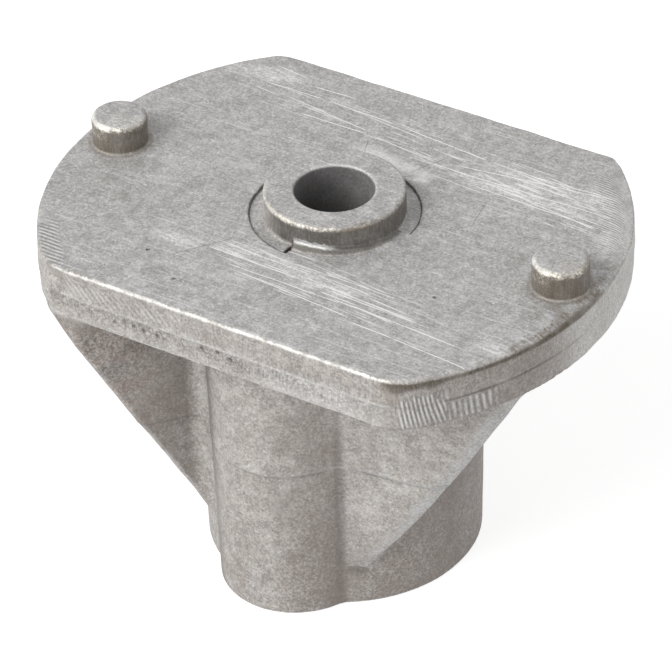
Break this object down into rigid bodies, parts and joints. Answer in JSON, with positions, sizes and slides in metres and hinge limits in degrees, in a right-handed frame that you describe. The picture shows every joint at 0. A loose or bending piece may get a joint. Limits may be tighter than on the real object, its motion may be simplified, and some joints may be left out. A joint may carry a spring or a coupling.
{
  "type": "mower blade holder",
  "caption": "Cast holder that clamps a mower blade to an engine shaft: a plate with flats, drive pins and a centring collar on a gusseted hub with a keyed bore.",
  "frame": {"origin": "on the shaft axis, at the open end of the hub, on which the part stands", "axes": "+Z along the shaft axis towards the blade, +X through the two drive pins along the length of the plate, -Y towards the key boss"},
  "size_m": [0.0752, 0.0556, 0.053],
  "materials": {
    "cast_alloy": "satin grey die-cast skin with a few machined and worn spots"
  },
  "bodies": {
    "root": {"blade_holder": "cast_alloy"}
  },
  "joints": []
}
